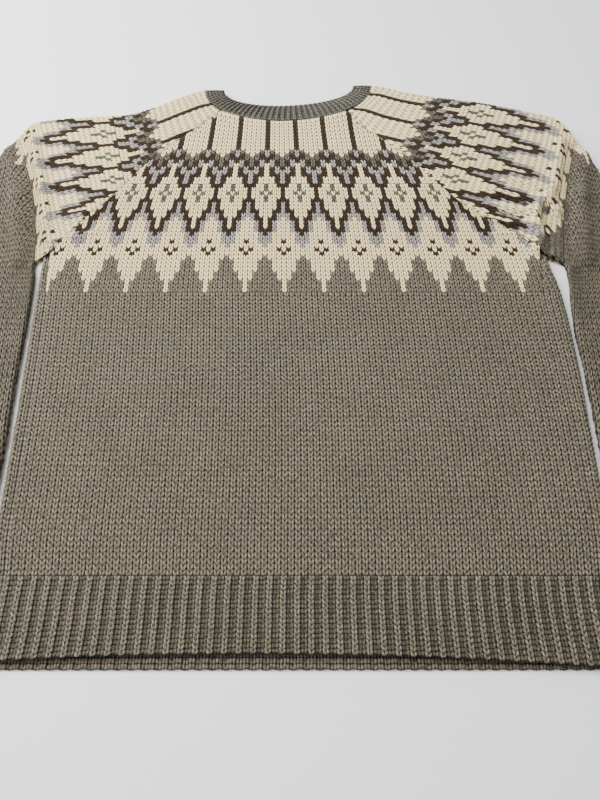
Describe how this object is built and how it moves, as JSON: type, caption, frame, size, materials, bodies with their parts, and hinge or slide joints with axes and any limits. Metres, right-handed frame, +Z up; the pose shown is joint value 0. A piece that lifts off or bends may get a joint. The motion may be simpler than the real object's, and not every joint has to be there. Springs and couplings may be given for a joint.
{
  "type": "fair isle jumper laid flat",
  "caption": "Chunky knitted raglan jumper laid flat, with a patterned round yoke, ribbed crew neckband, hem and cuffs.",
  "frame": {"origin": "on the underside of the back panel, in the middle of the body's width, 300 mm from the hem", "axes": "+X across the body from the sleeve on the left of the view to the one on the right, +Y from hem to neck, +Z up out of the front panel"},
  "size_m": [0.8414, 0.7586, 0.0114],
  "materials": {
    "body_knit": "marled wool stockinette with stranded colourwork",
    "body_rib": "marled wool in one by one rib",
    "neck_rib": "grey marled wool in one by one rib"
  },
  "bodies": {
    "root": {"back_panel": "body_knit", "front_panel": "body_knit", "sleeve_left": "body_knit", "sleeve_right": "body_knit", "hem_rib_back": "body_rib", "hem_rib_front": "body_rib", "cuff_left": "body_rib", "cuff_right": "body_rib", "neckband": "neck_rib"}
  },
  "joints": []
}
